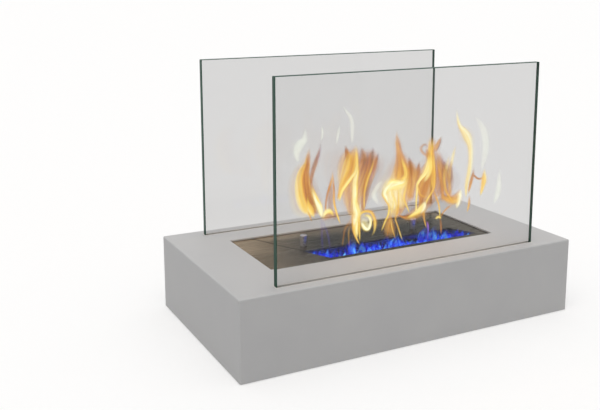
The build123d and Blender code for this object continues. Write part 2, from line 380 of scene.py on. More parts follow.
# %% [markdown]
# ## Rubber, silicone and ceramic wool
# The feet are matt black rubber. Grey silicone lines the slots that hold the panes. The
# tank is filled with ceramic wool: white when new, dark with soot where flames stand.
# One recipe with another grain size serves all three, as none of them shines.

# %% Rubber, silicone and wool
RUBBER_TONES = (rgb(34, 34, 35), rgb(24, 24, 25))
SILICONE_TONES = (rgb(214, 211, 207), rgb(204, 201, 197))
WOOL_TONES = (rgb(112, 108, 104), rgb(34, 33, 36))


def make_grainy(name, tone, shade, scale, rough, depth):
    """A matt material with a grain; depth is the height of its bumps in metres."""
    material, tree, output = new_material(name)
    grain = noise(tree, stretched(tree), scale, 5)
    body = add(tree, "ShaderNodeBsdfPrincipled", {
        "Base Color": ramp(tree, grain, [(0.35, shade), (0.65, tone)]),
        "Roughness": spread(tree, grain, NOISE_LOW, NOISE_HIGH, rough - 0.1, rough),
        "Normal": bumps(tree, grain, 0.4, depth),
    })
    show(tree, body, output)
    return material


rubber = make_grainy("black_rubber", *RUBBER_TONES, scale=900, rough=0.75, depth=0.2 * MM)
wear(rubber, "foot_front_left", "foot_front_right", "foot_rear_left", "foot_rear_right")
silicone = make_grainy("grey_silicone", *SILICONE_TONES, scale=700, rough=0.6, depth=0.1 * MM)
wear(silicone, "front_gasket", "rear_gasket")
wool = make_grainy("ceramic_wool", *WOOL_TONES, scale=160, rough=0.98, depth=1.0 * MM)
wear(wool, "ceramic_fibre")

# %% [markdown]
# ## Glow instead of a surface
# A flame has no surface: it is gas that gives light and lets light through. Smoke and
# fire could be simulated as a volume, but thin shells that mix glow with clear air keep
# their drawn shape and cost little. How much of each a point shows is its veil, and a
# flame throws no shadow.

# %% A glow that throws no shadow
def unlit(tree, output, colour, strength, veil):
    """Joins a glow and see-through air by the veil; the glow throws no shadow."""
    glow = add(tree, "ShaderNodeEmission", {"Color": colour, "Strength": strength})
    air = add(tree, "ShaderNodeBsdfTransparent", {"Color": (1, 1, 1, 1)})
    path = add(tree, "ShaderNodeLightPath")
    lit = math(tree, "SUBTRACT", 1.0, path.outputs["Is Shadow Ray"])
    share = math(tree, "MULTIPLY", veil, lit, clamp=True)
    both = add(tree, "ShaderNodeMixShader", {0: share, 1: air, 2: glow})
    show(tree, both, output)


def attribute(tree, name, output="Fac"):
    """An attribute that the mesh carries."""
    return add(tree, "ShaderNodeAttribute", attribute_name=name).outputs[output]


print("glow without shadow is ready")

# %% [markdown]
# ## Blue flames along the opening
# Alcohol burns blue where it meets fresh air, close over the wool. Along the opening stand
# dozens of small blue flames, each like a leaf with a bright root and a fading tip. The
# colour runs from deep blue to pale sky blue by each leaf's own glow and a fine noise.

# %% Blue flame finish
BLUE_STRENGTH = 1.4
BLUE_WISPS = (210, 210, 70)
BLUE_STOPS = [
    (0.0, rgb(12, 10, 96)), (0.3, rgb(16, 18, 186)), (0.55, rgb(26, 44, 240)),
    (0.8, rgb(54, 128, 255)), (1.0, rgb(130, 220, 255)),
]

blue_flame, tree, output = new_material("blue_flame")
wisp = noise(tree, stretched(tree, BLUE_WISPS), 1, 1)
swing = spread(tree, wisp, 0.32, 0.68, -0.3, 0.35)
tone = ramp(tree, math(tree, "ADD", attribute(tree, "glow"), swing), BLUE_STOPS)
tip = spread(tree, attribute(tree, "rise"), 0.25, 0.98, 1.0, 0.0)
body = spread(tree, wisp, 0.35, 0.6, 0.5, 1.0)
veil = math(tree, "MULTIPLY", math(tree, "MULTIPLY", tip, attribute(tree, "veil")), body)
unlit(tree, output, tone, BLUE_STRENGTH, veil)
print("blue in", len(BLUE_STOPS), "steps")

# %% [markdown]
# ## A leaf for every blue flame
# The small flames repeat, so Geometry Nodes scatter them. The tree starts from one leaf:
# a small sphere is lifted onto its foot, narrowed towards the tip and bent to one side.
# Its height at each point is stored as `rise`, for the finish to fade the tip.

# %% One leaf, bent out of a sphere
LEAF_TIP = 0.25
LEAF_CURL = 0.9


def store(tree, geometry, name, value):
    """Writes a number on every point, for a finish to read."""
    return add(tree, "GeometryNodeStoreNamedAttribute", {
        "Geometry": geometry, "Name": name, "Value": value,
    }, data_type="FLOAT", domain="POINT")


def bent_leaf(tree, spot):
    """A leaf that stands on its foot and is one unit tall."""
    ball = add(tree, "GeometryNodeMeshUVSphere", {"Segments": 9, "Rings": 6, "Radius": 1.0})
    axes = add(tree, "ShaderNodeSeparateXYZ", {0: spot}).outputs
    rise = math(tree, "MULTIPLY_ADD", axes["Z"], 0.5)
    rise.inputs[2].default_value = 0.5
    marked = store(tree, ball.outputs["Mesh"], "rise", rise)
    taper = spread(tree, rise, 0.2, 1.0, 1.0, LEAF_TIP)
    curl = math(tree, "MULTIPLY", math(tree, "POWER", rise, 2.0), LEAF_CURL)
    across = math(tree, "ADD", math(tree, "MULTIPLY", axes["X"], taper), curl)
    deep = math(tree, "MULTIPLY", axes["Y"], taper)
    bent = add(tree, "ShaderNodeCombineXYZ", {0: across, 1: deep, 2: rise})
    return add(tree, "GeometryNodeSetPosition", {"Geometry": marked, "Position": bent})


print("leaf curls over by", LEAF_CURL, "of its half width")

# %% [markdown]
# ## Spots over the opening
# The opening's ends are slanted, so the spots are drawn on a plain rectangle and then slid
# sideways by their depth. Poisson spacing keeps two leaves from standing on one spot, and
# a noise thins them out, which leaves dark gaps between the clumps.

# %% Spots in clumps
SLOT_CENTRE = (27.7 * MM, -27.5 * MM, 88 * MM)
SLOT_LENGTH = 232 * MM
SLOT_WIDTH = 29 * MM
SLOT_SLANT = -0.489
CLUMP_SCALE = 38
MOST_PER_SQUARE_METRE = 40000


def clumped_spots(tree, given, spot):
    """Points over the opening, centred on the origin."""
    grid = add(tree, "GeometryNodeMeshGrid", {
        "Size X": given["Length"], "Size Y": given["Width"], "Vertices X": 2, "Vertices Y": 2,
    })
    clumps = spread(tree, noise(tree, spot, CLUMP_SCALE, 1), 0.4, 0.52)
    spots = add(tree, "GeometryNodeDistributePointsOnFaces", {
        "Mesh": grid.outputs["Mesh"], "Distance Min": given["Spacing"],
        "Density Max": MOST_PER_SQUARE_METRE, "Density Factor": clumps, "Seed": given["Seed"],
    }, distribute_method="POISSON")
    deep = add(tree, "ShaderNodeSeparateXYZ", {0: spot}).outputs["Y"]
    slid = add(tree, "ShaderNodeCombineXYZ", {0: math(tree, "MULTIPLY", deep, SLOT_SLANT)})
    return add(tree, "GeometryNodeSetPosition", {
        "Geometry": spots.outputs["Points"], "Offset": slid,
    })


print("opening", round(SLOT_LENGTH / MM), "x", round(SLOT_WIDTH / MM), "mm")

# %% [markdown]
# ## The tree that sets a leaf on every spot
# Every leaf draws its own size, lean and glow from the seed, so no two look alike and a
# row always comes out the same. The tree ends as a plain mesh in its own material.

# %% Leaves of many sizes
LEAF_SIZES = {0: (0.6, 0.6, 0.35), 1: (1.0, 1.0, 1.0)}
LEAF_TURNS = {0: (-0.25, -0.25, 0.0), 1: (0.25, 0.25, 2 * pi)}
LEAF_GLOWS = {2: -0.33, 3: 0.27}


def draw(tree, limits, seed, kind="FLOAT_VECTOR"):
    """A random value for every point, between the limits."""
    return add(tree, "FunctionNodeRandomValue", {**limits, "Seed": seed}, data_type=kind)


def leaves_on_spots(tree, given):
    """Leaves of many sizes on their spots, each with its glow and veil."""
    spot = add(tree, "GeometryNodeInputPosition")
    points = clumped_spots(tree, given, spot)
    glow = draw(tree, LEAF_GLOWS, math(tree, "ADD", given["Seed"], 1), "FLOAT").outputs[1]
    points = store(tree, points, "glow", math(tree, "ADD", glow, given["Glow"]))
    points = store(tree, points, "veil", given["Veil"])
    full = add(tree, "ShaderNodeCombineXYZ", {
        0: given["Flame Width"], 1: given["Flame Width"], 2: given["Flame Height"],
    })
    size = add(tree, "ShaderNodeVectorMath", {
        0: draw(tree, LEAF_SIZES, given["Seed"]), 1: full,
    }, operation="MULTIPLY")
    return add(tree, "GeometryNodeInstanceOnPoints", {
        "Points": points, "Instance": bent_leaf(tree, spot), "Scale": size,
        "Rotation": draw(tree, LEAF_TURNS, given["Seed"]),
    })


print("leaves", LEAF_SIZES[0][0], "to", LEAF_SIZES[1][0], "of the full size")

# %% The blue flame tree
ROW_INPUTS = {
    "Geometry": "Geometry", "Length": "Float", "Width": "Float", "Spacing": "Float",
    "Flame Width": "Float", "Flame Height": "Float", "Glow": "Float", "Veil": "Float",
    "Seed": "Int", "Material": "Material",
}


def blue_flame_tree():
    tree = bpy.data.node_groups.new("blue_flame_row", "GeometryNodeTree")
    for label, kind in ROW_INPUTS.items():
        tree.interface.new_socket(label, in_out="INPUT", socket_type="NodeSocket" + kind)
    tree.interface.new_socket("Geometry", in_out="OUTPUT", socket_type="NodeSocketGeometry")
    given = tree.nodes.new("NodeGroupInput").outputs
    real = add(tree, "GeometryNodeRealizeInstances", {"Geometry": leaves_on_spots(tree, given)})
    moved = add(tree, "GeometryNodeTransform", {"Geometry": real, "Translation": SLOT_CENTRE})
    dressed = add(tree, "GeometryNodeSetMaterial", {
        "Geometry": moved, "Material": given["Material"],
    })
    end = tree.nodes.new("NodeGroupOutput")
    tree.links.new(dressed.outputs[0], end.inputs[0])
    return tree


blue_tree = blue_flame_tree()
print("blue flame tree of", len(blue_tree.nodes), "nodes")

# %% [markdown]
# ## Flames that ride on the burner
# The modifier is run once and its result kept as a plain mesh, because the export knows
# no modifiers. The flames ride on the burner.

# %% Keep the mesh, and ride on the burner
def new_object(name, data):
    """An object with this data, in the scene."""
    piece = bpy.data.objects.new(name, data)
    bpy.context.scene.collection.objects.link(piece)
    return piece


def plain_mesh(name, tree, values):
    """Runs a node tree on an empty object and keeps the result as a plain mesh."""
    piece = new_object(name, bpy.data.meshes.new(name))
    modifier = piece.modifiers.new("nodes", "NODES")
    modifier.node_group = tree
    for socket in tree.interface.items_tree:
        if socket.in_out == "INPUT" and socket.name in values:
            modifier[socket.identifier] = values[socket.name]
    graph = bpy.context.evaluated_depsgraph_get()
    made = bpy.data.meshes.new_from_object(
        piece.evaluated_get(graph), preserve_all_data_layers=True, depsgraph=graph
    )
    piece.modifiers.remove(modifier)
    piece.data = made
    return piece


def sink_with_shutter(piece):
    """Rides the burner."""
    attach(piece, "burner")
    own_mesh(piece)


# %% [markdown]
# ## Three rows of blue flames
# One row alone looks like a fence. A faint tall haze, a dense low carpet and a few bright
# narrow cores from the same tree overlap into one bed of flames.

# %% Three blue rows
BLUE_ROWS = {
    "blue_flames_haze": {"Spacing": 10 * MM, "Flame Width": 9 * MM, "Flame Height": 32 * MM,
                         "Glow": 0.42, "Veil": 0.27, "Seed": 5},
    "blue_flames_low": {"Spacing": 5.5 * MM, "Flame Width": 5.5 * MM, "Flame Height": 21 * MM,
                        "Glow": 0.34, "Veil": 0.82, "Seed": 3},
    "blue_flames_core": {"Spacing": 13 * MM, "Flame Width": 3 * MM, "Flame Height": 21 * MM,
                         "Glow": 0.85, "Veil": 0.6, "Seed": 8},
}
for name, values in BLUE_ROWS.items():
    row = plain_mesh(name, blue_tree, {
        **values, "Length": SLOT_LENGTH, "Width": SLOT_WIDTH, "Material": blue_flame,
    })
    sink_with_shutter(row)
    print(name, len(row.data.polygons), "faces")

# %% [markdown]
# ## Yellow flames
# Higher up the flame is short of air: soot glows, and the flame turns into tall, thin
# veils, brightest along a rim. A flame follows no rule, so its strands are given one by one.
# Every strand goes through a few given points: X, height and half width. A smooth
# curve through them gives the line, and soft fades let foot and tip melt into the air.

# %% Smooth lines and soft ends
STEPS = 4


def smooth_path(points):
    """A smooth curve through the points (Catmull-Rom), as rows of X, Z and half width."""
    knots = np.array([points[0], *points, points[-1]], float)
    rows = []
    for before, start, end, after in zip(knots, knots[1:], knots[2:], knots[3:]):
        for t in np.arange(STEPS) / STEPS:
            bend = 2 * before - 5 * start + 4 * end - after
            twist = 3 * start - before - 3 * end + after
            rows.append(start + 0.5 * ((end - before) * t + bend * t**2 + twist * t**3))
    rows.append(knots[-1])
    return np.array(rows)


def fade(value, length):
    """0 to 1 over the length, softly."""
    t = np.clip(value / length, 0, 1)
    return t * t * (3 - 2 * t)


print(STEPS, "steps from point to point")

# %% [markdown]
# ## A strand as a closed shell
# A flat ribbon would vanish from the side. So a strand is a closed shell with an oval
# section, pointed at both ends. Each corner carries its place along the flow, its warmth
# and the thickness of the veil, for the finish to read.

# %% Rings of a strand
RING = 16
RING_CORNERS = [(cos(2 * pi * k / RING), sin(2 * pi * k / RING)) for k in range(RING)]
END_CORNER = [(0.0, 0.0)]


def shell_faces(rows):
    """Faces of a tube of rings that ends in one corner below and one above."""
    faces = []
    for k in range(RING):
        after = (k + 1) % RING
        faces.append((0, 1 + after, 1 + k))
        for row in range(rows - 3):
            low = 1 + row * RING
            faces.append((low + k, low + after, low + RING + after, low + RING + k))
        top = 1 + (rows - 3) * RING
        faces.append((top + RING, top + k, top + after))
    return faces


print("strands with", RING, "corners around")

# %% One strand
SWAY = 2.5
SWAY_HEIGHT = 19
LEAST_HALF_WIDTH = 0.3
LEAST_THICKNESS = 0.8
THICKNESS_SHARE = 0.6
FOOT_FADE = 10
TIP_FADE = 26
TIP_COOLING = 0.12
RIM_SHARPNESS = 1.3
CORE_SOFTNESS = 2.2


def strand_shell(depth, points, warmth, veil, number, swell=1.0, softness=CORE_SOFTNESS):
    """One closed strand: corners, what each of them carries, and faces."""
    path = smooth_path(points)
    path[:, 2] *= swell
    slope = np.gradient(path[:, :2], axis=0)
    slope /= np.linalg.norm(slope, axis=1)[:, None] + 1e-9
    strides = np.linalg.norm(np.diff(path[:, :2], axis=0), axis=1)
    run = np.concatenate([[0], np.cumsum(strides)])
    last = len(path) - 1
    shell = {"corners": [], "flow": [], "warmth": [], "veil": [], "faces": shell_faces(len(path))}
    for row, (x, z, half) in enumerate(path):
        half = max(half, LEAST_HALF_WIDTH)
        middle = Vector((x, depth + SWAY * sin(z / SWAY_HEIGHT + number), z))
        sideways = Vector((slope[row, 1], 0, -slope[row, 0]))
        cooling = TIP_COOLING * (run[row] / run[-1]) ** 2
        ends = fade(run[row], min(FOOT_FADE, 0.3 * run[-1]))
        ends *= fade(run[-1] - run[row], min(TIP_FADE, 0.4 * run[-1]))
        for side, deep in END_CORNER if row in (0, last) else RING_CORNERS:
            corner = middle + sideways * side * half
            corner.y += deep * max(THICKNESS_SHARE * half, LEAST_THICKNESS)
            rim = warmth[0] if side < 0 else warmth[2]
            heat = warmth[1] + (rim - warmth[1]) * abs(side) ** RIM_SHARPNESS - cooling
            shell["corners"].append(corner * MM)
            shell["flow"].append((side * half, run[row], 10 * number))
            shell["warmth"].append(heat)
            shell["veil"].append(veil * ends * (1 - abs(side) ** softness))
    return shell


print("strands sway by", SWAY, "mm")

# %% [markdown]
# ## A flame from several strands
# A flame is one mesh of many strands. Each strand gets a second, wider and fainter shell,
# a halo, because the glow of a real flame has no hard edge.

# %% One flame
HALO_WIDTH = 1.8
HALO_VEIL = 0.22
HALO_SOFTNESS = 1.5
HALO_COOLING = 0.12
COLDEST_SOOT = 0.2


def merged_strands(strands):
    """All strands with their halos, as one set of corners, faces and values."""
    whole = {"corners": [], "flow": [], "warmth": [], "veil": [], "faces": []}
    for number, (depth, points, warmth, veil) in enumerate(strands):
        cooler = [heat - HALO_COOLING if heat > COLDEST_SOOT else heat for heat in warmth]
        core = strand_shell(depth, points, warmth, veil, number)
        faint = veil * HALO_VEIL
        halo = strand_shell(depth, points, cooler, faint, number, HALO_WIDTH, HALO_SOFTNESS)
        for shell in (core, halo):
            first = len(whole["corners"])
            shell["faces"] = [[first + i for i in face] for face in shell["faces"]]
            for part, values in shell.items():
                whole[part] += values
    return whole


def make_flame(name, strands, material):
    """One mesh from several strands, with its values and material."""
    whole = merged_strands(strands)
    mesh = bpy.data.meshes.new(name)
    mesh.from_pydata(whole["corners"], [], whole["faces"])
    flow = mesh.attributes.new("flow", "FLOAT_VECTOR", "POINT")
    flow.data.foreach_set("vector", np.array(whole["flow"]).ravel())
    for layer in ("warmth", "veil"):
        mesh.attributes.new(layer, "FLOAT", "POINT").data.foreach_set("value", whole[layer])
    mesh.polygons.foreach_set("use_smooth", [True] * len(mesh.polygons))
    mesh.materials.append(material)
    sink_with_shutter(new_object(name, mesh))
    print(name, len(strands), "strands,", len(mesh.polygons), "faces")


print("halo", HALO_WIDTH, "times as wide as its core")

# %% [markdown]
# ## Yellow flame finish, and a pale glow for painted reflections
# Glowing soot is nearly white where it is hottest, then yellow, orange and brown. A noise
# drawn out along the flow streaks it. The ramp starts with violet and pink, for thin
# roots that burn almost without soot, and no streak cools a warm strand that far.

# %% Soot glow
STREAK_SCALE = (0.15, 0.014, 1)
STREAK_SWING = (-0.23, 0.14)
ROOT_WARMTH = 0.15
BROWN_WARMTH = 0.14
YELLOW_STRENGTH = 1.2
YELLOW_STOPS = [
    (0.0, rgb(96, 84, 205)), (0.08, rgb(200, 120, 180)), (0.13, rgb(124, 74, 38)),
    (0.26, rgb(170, 103, 46)), (0.42, rgb(212, 143, 62)), (0.6, rgb(244, 194, 82)),
    (0.8, rgb(255, 231, 124)), (1.0, rgb(255, 253, 218)),
]
PALE_STRENGTH = 1.15
PALE_STOPS = [(0.5, rgb(242, 234, 220)), (1.0, rgb(240, 247, 230))]


def make_soot_glow(name, stops, strength):
    """A flame finish; the stops give the colours from the coolest to the hottest."""
    material, tree, output = new_material(name)
    place = add(tree, "ShaderNodeMapping", {
        "Vector": attribute(tree, "flow", "Vector"), "Scale": STREAK_SCALE,
    })
    streak = noise(tree, place, 1, 2)
    swing = spread(tree, streak, NOISE_LOW, NOISE_HIGH, *STREAK_SWING)
    warmth = attribute(tree, "warmth")
    has_soot = math(tree, "GREATER_THAN", warmth, ROOT_WARMTH)
    coolest = math(tree, "MULTIPLY", has_soot, BROWN_WARMTH)
    warm = math(tree, "MAXIMUM", math(tree, "ADD", warmth, swing), coolest)
    body = spread(tree, streak, 0.3, 0.6, 0.7, 1.0)
    veil = math(tree, "MULTIPLY", attribute(tree, "veil"), body)
    unlit(tree, output, ramp(tree, warm, stops), strength, veil)
    return material


yellow_flame = make_soot_glow("yellow_flame", YELLOW_STOPS, YELLOW_STRENGTH)
# The pale finish is a glow for the painted reflections of the flames in the panes.
painted_flame_reflection = make_soot_glow("painted_flame_reflection", PALE_STOPS, PALE_STRENGTH)
print("yellow and pale flame finishes")

# %% [markdown]
# ## The left flame
# A broad sheet, bright along its left rim, with a dark spike beside it. To its right
# stands a small flame on two legs, and two violet legs hint at the gas that feeds it. A
# strand is its depth, its points in millimetres, the warmth at its left rim, middle and
# right rim (0 violet, 0.5 orange, 1 nearly white), and the thickness of its veil. In
# front, depth is more negative.

# %% Left flame
VIOLET = (0.07, 0.1, 0.07)
LEFT_FLAME = [
    (-22, [(-93, 153, 4), (-101, 168, 13), (-108, 182, 13), (-111, 200, 12), (-110, 214, 9),
     (-105, 225, 5), (-102, 237, 3), (-99, 248, 1)], (0.95, 0.43, 0.55), 0.92),
    (-33, [(-87, 152, 1), (-91, 167, 4), (-96, 178, 3.5), (-102, 191, 3), (-104, 202, 1)],
     (0.95, 0.95, 0.7), 0.95),
    (-26, [(-102, 194, 1), (-97, 214, 3), (-92, 227, 3.5), (-86, 243, 2), (-86, 256, 1)],
     (0.4, 0.3, 0.3), 0.55),
    (-35, [(-101, 155, 1), (-106, 168, 4.5), (-109, 177, 2), (-110, 188, 1)],
     (0.95, 0.85, 0.75), 0.8),
    (-33, [(-103, 150, 1), (-106, 160, 1.2), (-108, 172, 1)], (0.6, 0.6, 0.6), 0.6),
    (-28, [(-85, 104, 1), (-86, 128, 1.5), (-85, 143, 1.5), (-90, 160, 1)], VIOLET, 0.1),
    (-28, [(-73, 104, 1), (-76, 128, 1.5), (-81, 143, 1.5), (-85, 158, 1)], VIOLET, 0.1),
    (-37, [(-89, 154, 1.5), (-95, 171, 3), (-100, 181, 2), (-105, 195, 1.5)],
     (1.0, 1.1, 0.9), 0.7),
    (-14, [(-84, 150, 3), (-90, 166, 6), (-97, 185, 8), (-99, 204, 5), (-100, 222, 2)],
     (0.4, 0.3, 0.5), 0.5),
    (-20, [(-82, 144, 2), (-75, 152, 7), (-66, 153, 7), (-54, 143, 3)], (0.45, 0.5, 0.45), 0.4),
    (-32, [(-87, 152, 1), (-83, 159, 2.5), (-78, 161, 3.5), (-74, 159, 2.5), (-70, 152, 1)],
     (0.9, 0.98, 0.8), 0.95),
    (-24, [(-69, 152, 4), (-69, 170, 4.5), (-69, 186, 4), (-69, 200, 2), (-69, 210, 1)],
     (0.5, 0.35, 0.5), 0.35),
    (-30, [(-79, 154, 0.8), (-79, 170, 1.3), (-77, 186, 1.6), (-72, 203, 1.4), (-71, 216, 1)],
     (0.55, 0.6, 0.55), 0.75),
    (-30, [(-56, 138, 0.6), (-63, 156, 1.4), (-68, 173, 1.6), (-69, 187, 1.6), (-72, 216, 1)],
     (0.55, 0.65, 0.55), 0.8),
]
make_flame("flame_left", LEFT_FLAME, yellow_flame)

# %% [markdown]
# ## The second flame
# The widest one: a pale stem with a diagonal branch, between a bright lobe on the left and
# a brown one on the right. Its top is ragged, and its foot rolls up into a bright hook.
# A wide faint sheet behind holds the strands together.

# %% Second flame
SECOND_FLAME = [
    (-37, [(-40, 134, 1.5), (-37, 146, 4), (-34, 154, 5), (-37, 165, 3), (-39, 180, 1.5)],
     (1.0, 1.1, 0.95), 0.75),
    (-16, [(-34, 214, 7), (-39, 230, 4), (-42, 245, 1)], (0.4, 0.45, 0.4), 0.8),
    (-16, [(-12, 214, 6.5), (-14, 229, 4), (-17, 240, 1)], (0.35, 0.35, 0.3), 0.42),
    (-14, [(-3, 211, 6.5), (1, 226, 4), (2, 239, 1)], (0.3, 0.35, 0.3), 0.42),
    (-16, [(-1, 200, 3), (6, 218, 2.5), (9, 231, 1)], (0.3, 0.3, 0.5), 0.7),
    (-12, [(-28, 140, 5), (-28, 158, 12), (-27, 176, 20), (-24, 195, 27), (-21, 212, 31),
     (-18, 227, 29), (-16, 241, 18)], (0.6, 0.42, 0.42), 0.55),
    (-19, [(-56, 168, 1), (-50, 186, 5), (-44, 200, 9), (-39, 214, 11.5), (-35, 226, 9.5),
     (-31, 237, 4), (-28, 246, 1)], (0.8, 0.66, 0.8), 0.85),
    (-34, [(-63, 171, 1), (-60, 186, 1.8), (-53, 195, 2.2), (-45, 204, 2.2), (-38, 212, 1.8),
     (-36, 228, 1.2)], (0.75, 0.85, 0.65), 0.8),
    (-32, [(-32, 116, 2), (-33, 134, 3.5), (-34, 152, 5.5), (-38, 169, 3.8), (-38, 183, 4.2),
     (-37, 197, 4), (-34, 210, 3.2), (-34, 226, 2.6), (-33, 246, 1)], (0.78, 0.98, 0.72), 0.95),
    (-20, [(-20, 146, 2), (-17, 165, 5), (-14, 182, 8), (-10, 199, 10.5), (-7, 214, 13),
     (-5, 226, 12), (-3, 238, 4)], (0.4, 0.3, 0.6), 0.6),
    (-33, [(-24, 155, 1), (-22, 179, 1.5), (-17, 196, 2), (-11, 212, 2), (-6, 230, 1)],
     (0.6, 0.75, 0.7), 0.75),
    (-32, [(-24, 176, 1), (-19, 202, 1.5), (-14, 224, 1)], (0.5, 0.5, 0.5), 0.6),
    (-36, [(-34, 148, 1), (-24, 154, 2), (-13, 152, 2.5), (-8, 144, 2.5), (-7, 136, 2.5),
     (-9, 125, 1.5), (-15, 118, 1)], (0.6, 0.85, 0.65), 0.85),
    (-33, [(-27, 141, 2), (-21, 130, 3), (-15, 128, 2.5), (-11, 135, 2), (-12, 143, 2.5),
     (-18, 147, 2.5), (-26, 145, 2)], (0.95, 1.0, 0.85), 0.95),
    (-31, [(-27, 106, 0.6), (-33, 118, 1.6), (-37, 131, 2.5), (-37, 148, 4), (-34, 164, 3)],
     (0.5, 0.75, 0.6), 0.8),
    (-35, [(-29, 112, 0.6), (-31, 128, 1.5), (-33, 144, 2.5), (-35, 160, 2)],
     (0.7, 0.9, 0.7), 0.75),
    (-24, [(-51, 104, 0.6), (-50, 120, 1.2), (-48, 131, 2), (-41, 140, 2.5), (-34, 152, 1.5)],
     (0.45, 0.5, 0.5), 0.22),
    (-26, [(-42, 102, 0.6), (-44, 117, 1), (-44, 128, 1.5), (-40, 139, 1.5)],
     (0.45, 0.5, 0.45), 0.18),
    (-30, [(-24, 144, 2), (-20, 138, 5), (-17, 131, 4), (-18, 125, 1.5)], (0.85, 0.95, 0.9), 0.3),
]
make_flame("flame_second", SECOND_FLAME, yellow_flame)

# %% [markdown]
# ## The third flame
# It starts as thin legs, swells into a pale, almost white body and narrows to a long tip.
# Two see-through pale sheets over a golden one make the body, and fine lines its rims.

# %% Third flame
THIRD_FLAME = [
    (-37, [(7, 174, 1), (15, 183, 4), (26, 185, 7), (37, 187, 5), (43, 198, 2)],
     (0.95, 1.05, 0.9), 0.6),
    (-14, [(61, 188, 7), (62, 205, 4), (60, 220, 1)], (0.4, 0.35, 0.3), 0.7),
    (-14, [(71, 180, 6), (76, 195, 4), (79, 211, 1)], (0.45, 0.35, 0.3), 0.7),
    (-12, [(40, 130, 5), (43, 153, 16), (46, 170, 20), (52, 187, 19), (52, 210, 12),
     (48, 226, 4)], (0.8, 0.55, 0.42), 0.6),
    (-20, [(32, 144, 3), (32, 153, 7), (30, 162, 9), (25, 172, 11), (29, 184, 10), (38, 197, 4)],
     (1.0, 1.0, 1.0), 0.5),
    (-27, [(40, 146, 3), (41, 155, 6), (39, 164, 8), (36, 174, 10), (42, 185, 8), (46, 198, 3)],
     (1.0, 1.0, 1.0), 0.45),
    (-35, [(3, 122, 0.6), (10, 135, 1.2), (16, 145, 1.5), (17, 156, 1.6), (11, 166, 1.8),
     (5, 175, 1.8), (9, 184, 2)], (0.75, 0.9, 0.75), 0.85),
    (-36, [(15, 160, 1), (9, 170, 1.8), (6, 177, 2), (11, 185, 2.5), (22, 192, 3)],
     (0.9, 1.0, 0.9), 0.85),
    (-35, [(18, 140, 1), (21, 158, 1.3), (21, 170, 1.3), (20, 186, 1)], (0.8, 0.9, 0.8), 0.4),
    (-37, [(39, 104, 0.6), (29, 127, 1.1), (24, 139, 1.3), (27, 150, 1.4), (28, 170, 1.6),
     (28, 190, 1.2)], (0.65, 0.85, 0.7), 0.62),
    (-34, [(49, 142, 0.8), (43, 156, 1.3), (40, 166, 1.6), (43, 177, 1.8), (46, 187, 1.2)],
     (0.8, 0.85, 0.7), 0.7),
    (-26, [(24, 148, 2), (22, 138, 4), (21, 129, 7), (21, 120, 9), (20, 108, 8)],
     (0.5, 0.64, 0.5), 0.42),
    (-29, [(22, 140, 1), (19, 126, 1), (14, 108, 0.6)], (0.6, 0.7, 0.6), 0.5),
    (-29, [(23, 138, 1), (26, 122, 1), (31, 104, 0.6)], (0.6, 0.7, 0.6), 0.5),
    (-22, [(40, 178, 8), (42, 193, 12), (43, 205, 11.5), (42, 216, 8.5), (40, 230, 5),
     (38, 242, 4), (36, 252, 2), (36, 260, 1)], (0.5, 0.52, 0.75), 0.72),
    (-34, [(31, 183, 2), (38, 192, 3), (43, 198, 3), (42, 207, 2.5), (36, 223, 1.5)],
     (0.8, 0.95, 0.9), 0.9),
    (-38, [(8, 183, 1.5), (18, 191, 3.5), (26, 189, 4), (34, 187, 4.5), (43, 192, 2)],
     (0.95, 1.0, 0.95), 0.95),
    (-17, [(62, 152, 4), (64, 173, 8), (65, 184, 10), (65, 196, 9.5), (64, 206, 5), (60, 218, 1)],
     (0.6, 0.46, 0.36), 0.62),
]
make_flame("flame_third", THIRD_FLAME, yellow_flame)

# %% [markdown]
# ## The fourth flame
# A wide brown sheet with a ragged top, a bright bend in front of it, and a tall stem. Low
# down, one strand ends in a bright spot over the opening, and another runs far to the
# right and turns up. One pink root shows near the blue flames.

